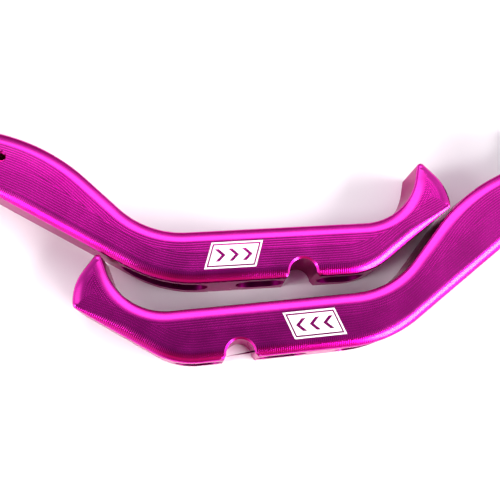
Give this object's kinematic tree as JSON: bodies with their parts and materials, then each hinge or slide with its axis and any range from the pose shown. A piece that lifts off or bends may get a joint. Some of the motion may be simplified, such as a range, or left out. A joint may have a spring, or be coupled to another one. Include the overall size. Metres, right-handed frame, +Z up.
{
  "type": "handguard pair",
  "caption": "Mirrored left and right handlebar guards: crowned milled bars with a hooked outer end, a notch and windows in the front edge, each on a pivoting split bar clamp.",
  "frame": {"origin": "on the floor under the middle of the pair's box", "axes": "+X along the pair from the left guard's arm to the right guard's arm, +Y towards the rider's side of both bars, +Z up through the crowned faces"},
  "size_m": [0.3966, 0.1638, 0.0415],
  "materials": {
    "anodised_bar": "glossy magenta anodising over fine ball-mill passes",
    "white_print": "thin white print",
    "black_clamp": "satin black anodising",
    "stainless_screws": "turned stainless steel",
    "zinc_nut": "bright zinc",
    "bronze_bush": "sintered bronze",
    "nylon_washer": "natural nylon"
  },
  "bodies": {
    "left_guard": {"left_shell": "anodised_bar", "left_badge": "white_print", "left_pivot_bolt": "stainless_screws", "left_pivot_nut": "zinc_nut"},
    "left_clamp": {"left_clamp_saddle": "black_clamp", "left_pivot_bush": "bronze_bush", "left_upper_washer": "nylon_washer", "left_lower_washer": "nylon_washer"},
    "left_cap": {"left_clamp_cap": "black_clamp", "left_clamp_bolts": "stainless_screws"},
    "right_guard": {"right_shell": "anodised_bar", "right_badge": "white_print", "right_pivot_bolt": "stainless_screws", "right_pivot_nut": "zinc_nut"},
    "right_clamp": {"right_clamp_saddle": "black_clamp", "right_pivot_bush": "bronze_bush", "right_upper_washer": "nylon_washer", "right_lower_washer": "nylon_washer"},
    "right_cap": {"right_clamp_cap": "black_clamp", "right_clamp_bolts": "stainless_screws"}
  },
  "joints": [
    {"name": "right_guard_lift", "type": "slide", "parent": "left_guard", "child": "right_guard", "axis": [0, 0, 1], "range_m": [0, 0.06]},
    {"name": "left_clamp_pivot", "type": "hinge", "parent": "left_guard", "child": "left_clamp", "pos_m": [-0.16249, 0.03576, 0], "axis": [0, 0, 1], "range_deg": [-15, 45]},
    {"name": "left_cap_release", "type": "slide", "parent": "left_clamp", "child": "left_cap", "axis": [-0.5627, 0.8267, 0], "range_m": [0, 0.03]},
    {"name": "right_clamp_pivot", "type": "hinge", "parent": "right_guard", "child": "right_clamp", "pos_m": [0.16946, 0.02415, 0], "axis": [0, 0, 1], "range_deg": [-45, 15]},
    {"name": "right_cap_release", "type": "slide", "parent": "right_clamp", "child": "right_cap", "axis": [0.4021, 0.9156, 0], "range_m": [0, 0.03]}
  ]
}
